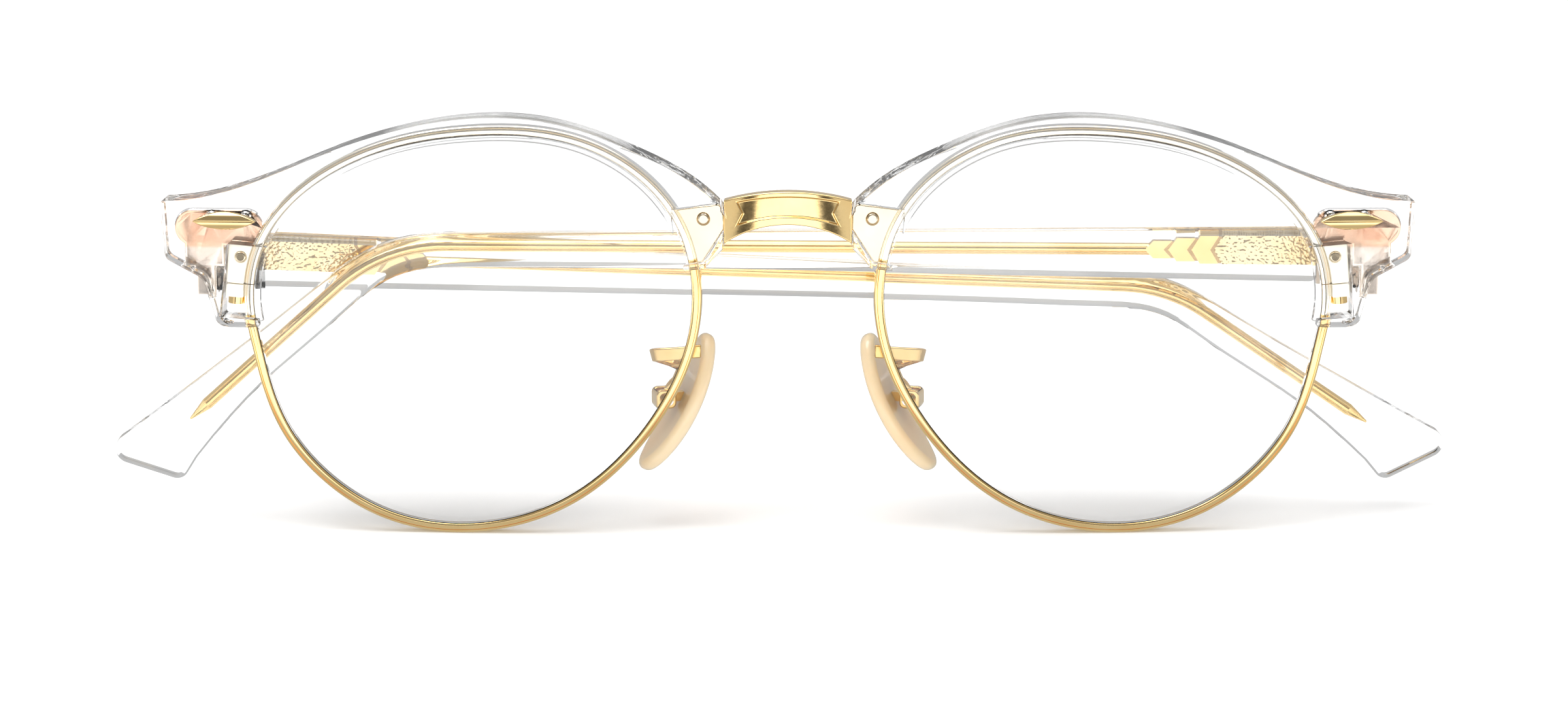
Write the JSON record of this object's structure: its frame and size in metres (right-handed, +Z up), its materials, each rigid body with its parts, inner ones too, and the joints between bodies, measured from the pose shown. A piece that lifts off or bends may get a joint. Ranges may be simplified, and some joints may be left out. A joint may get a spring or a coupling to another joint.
{
  "type": "eyeglasses",
  "caption": "Round browline eyeglasses: clear brow and temples, metal eyewires and bridge, adjustable nose pads, shown folded.",
  "frame": {"origin": "on the table, under the middle of the folded glasses", "axes": "+X towards the wearer's left, +Y towards the back (the folded temples), +Z up towards the brow"},
  "size_m": [0.1437, 0.0179, 0.0449],
  "materials": {
    "gold": "polished",
    "copper": "satin",
    "steel": "polished",
    "clear_acetate": "polished",
    "lens": "polished",
    "pad": "satin"
  },
  "bodies": {
    "front": {"bridge": "gold", "eyewire_left": "gold", "eyewire_right": "gold", "lens_left": "lens", "lens_right": "lens", "brow_left": "clear_acetate", "brow_right": "clear_acetate", "nasal_pin_left": "gold", "nasal_pin_right": "gold", "temporal_pin_left": "gold", "temporal_pin_right": "gold", "rim_lock_upper_left": "gold", "rim_lock_upper_right": "gold", "rim_lock_lower_left": "gold", "rim_lock_lower_right": "gold", "rim_lock_screw_left": "gold", "rim_lock_screw_right": "gold", "spindle_left": "gold", "spindle_right": "gold", "hinge_plate_left": "copper", "hinge_plate_right": "copper", "hinge_screw_left": "gold", "hinge_screw_right": "gold", "pad_arm_left": "gold", "pad_arm_right": "gold", "pad_screw_left": "steel", "pad_screw_right": "steel"},
    "temple_left": {"temple_left": "clear_acetate", "temple_core_left": "gold", "temple_hinge_left": "gold"},
    "temple_right": {"temple_right": "clear_acetate", "temple_core_right": "gold", "temple_hinge_right": "gold"},
    "pad_left": {"nose_pad_left": "pad", "pad_stud_left": "gold"},
    "pad_right": {"nose_pad_right": "pad", "pad_stud_right": "gold"}
  },
  "joints": [
    {"name": "temple_left_hinge", "type": "hinge", "parent": "front", "child": "temple_left", "pos_m": [0.06146, 0.00136, 0.027], "axis": [0, 0, -1], "range_deg": [0, 93.5]},
    {"name": "temple_right_hinge", "type": "hinge", "parent": "front", "child": "temple_right", "pos_m": [-0.06146, 0.00136, 0.027], "axis": [0, 0, 1], "range_deg": [0, 90.5]},
    {"name": "pad_left_rock", "type": "hinge", "parent": "front", "child": "pad_left", "pos_m": [0.01331, 0.00104, 0.0134], "axis": [0.2588, 0.9659, 0], "range_deg": [-8, 8]},
    {"name": "pad_right_rock", "type": "hinge", "parent": "front", "child": "pad_right", "pos_m": [-0.01331, 0.00104, 0.0134], "axis": [0.2588, -0.9659, 0], "range_deg": [-8, 8]}
  ]
}
